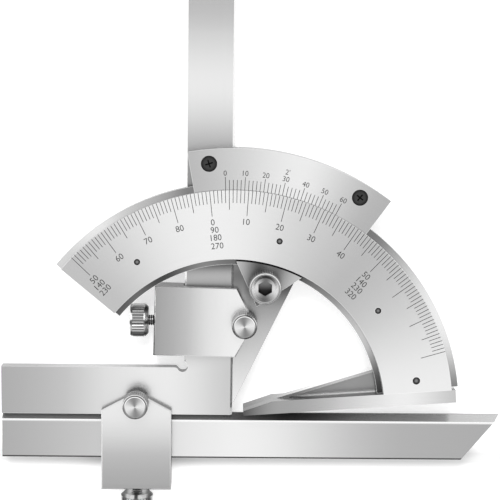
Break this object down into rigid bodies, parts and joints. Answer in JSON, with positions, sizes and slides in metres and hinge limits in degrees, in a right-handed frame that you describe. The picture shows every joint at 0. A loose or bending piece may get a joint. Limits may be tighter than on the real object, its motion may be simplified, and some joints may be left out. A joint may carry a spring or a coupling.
{
  "type": "bevel protractor",
  "caption": "Vernier bevel protractor with an arc scale and base rule turning about a sector plate, an L-shaped square, a straight blade and clamp blocks with thumb screws.",
  "frame": {"origin": "centre of the dial's arc, the virtual vertex of the angle, on the plane of the rear thumb knob's back face that the tool lies on", "axes": "+Z out of the dial's face, +X along the blade towards its slanted end, +Y along the square's long arm away from the blade"},
  "size_m": [0.1522, 0.1703, 0.0213],
  "materials": {
    "scale_face": "satin, engraved",
    "rule_steel": "satin, ground",
    "plate_steel": "satin",
    "block_steel": "satin, ground",
    "knob_steel": "turned and knurled",
    "gear_steel": "machined",
    "pin_steel": "machined",
    "bush_brass": "machined",
    "black_screw": "black oxide"
  },
  "bodies": {
    "sector": {"sector_plate": "plate_steel", "vernier_plate": "scale_face", "vernier_screws": "black_screw", "pinion_bush": "bush_brass", "upper_clamp_block": "block_steel"},
    "dial": {"main_scale": "scale_face", "sector_gear": "gear_steel", "gear_pins": "pin_steel", "base_rule": "rule_steel", "base_pin": "pin_steel", "base_screws": "black_screw"},
    "pinion": {"pinion_shaft": "gear_steel", "adjust_knob": "knob_steel", "knob_set_screw": "black_screw"},
    "brake_clamp": {"brake_plate": "plate_steel"},
    "brake_screw": {"brake_stud": "knob_steel", "brake_knob": "knob_steel"},
    "square": {"square": "rule_steel", "lower_clamp_block": "block_steel"},
    "blade": {"blade": "rule_steel"},
    "upper_pad": {"upper_pressure_pad": "bush_brass"},
    "upper_side_screw": {"upper_side_knob": "knob_steel"},
    "upper_lock_screw": {"upper_lock_knob": "knob_steel"},
    "lower_pad": {"lower_pressure_pad": "bush_brass"},
    "lower_side_screw": {"lower_side_knob": "knob_steel"},
    "lower_lock_screw": {"lower_lock_knob": "knob_steel"}
  },
  "joints": [
    {"name": "dial_turn", "type": "hinge", "parent": "sector", "child": "dial", "pos_m": [0, 0, 0.013], "axis": [0, 0, 1], "range_deg": [-4.1, 45.9]},
    {"name": "pinion_turn", "type": "hinge", "parent": "sector", "child": "pinion", "pos_m": [0.01415, 0.05893, 0.005], "axis": [0, 0, 1], "range_deg": [-727, 65.1]},
    {"name": "brake_lift", "type": "slide", "parent": "sector", "child": "brake_clamp", "axis": [0, 0, 1], "range_m": [0, 0.00029]},
    {"name": "brake_turn", "type": "hinge", "parent": "brake_clamp", "child": "brake_screw", "pos_m": [0.00933, 0.03797, 0.015], "axis": [0, 0, 1], "range_deg": [0, 150]},
    {"name": "square_slide", "type": "slide", "parent": "sector", "child": "square", "axis": [0, 1, 0], "range_m": [-0.08, 0.001]},
    {"name": "blade_slide", "type": "slide", "parent": "square", "child": "blade", "axis": [1, 0, 0], "range_m": [-0.07, 0.025]},
    {"name": "upper_pad_slide", "type": "slide", "parent": "sector", "child": "upper_pad", "axis": [-1, 0, 0], "range_m": [0, 0.001]},
    {"name": "upper_side_turn", "type": "hinge", "parent": "upper_pad", "child": "upper_side_screw", "pos_m": [-0.025, 0.02595, 0.007], "axis": [-1, 0, 0], "range_deg": [0, 720]},
    {"name": "upper_lock_turn", "type": "hinge", "parent": "sector", "child": "upper_lock_screw", "pos_m": [0.00345, 0.02595, 0.012], "axis": [0, 0, 1], "range_deg": [0, 360]},
    {"name": "lower_pad_slide", "type": "slide", "parent": "square", "child": "lower_pad", "axis": [0, -1, 0], "range_m": [0, 0.001]},
    {"name": "lower_side_turn", "type": "hinge", "parent": "lower_pad", "child": "lower_side_screw", "pos_m": [-0.029, -0.027, 0.007], "axis": [0, -1, 0], "range_deg": [0, 720]},
    {"name": "lower_lock_turn", "type": "hinge", "parent": "square", "child": "lower_lock_screw", "pos_m": [-0.029, 0.00135, 0.012], "axis": [0, 0, 1], "range_deg": [0, 360]}
  ],
  "couplings": [
    {"joint": "pinion_turn", "follows": "dial_turn", "ratio": -15.833},
    {"joint": "brake_turn", "follows": "brake_lift", "rad_per_m": 8976},
    {"joint": "upper_side_turn", "follows": "upper_pad_slide", "rad_per_m": 12566},
    {"joint": "lower_side_turn", "follows": "lower_pad_slide", "rad_per_m": 12566}
  ]
}
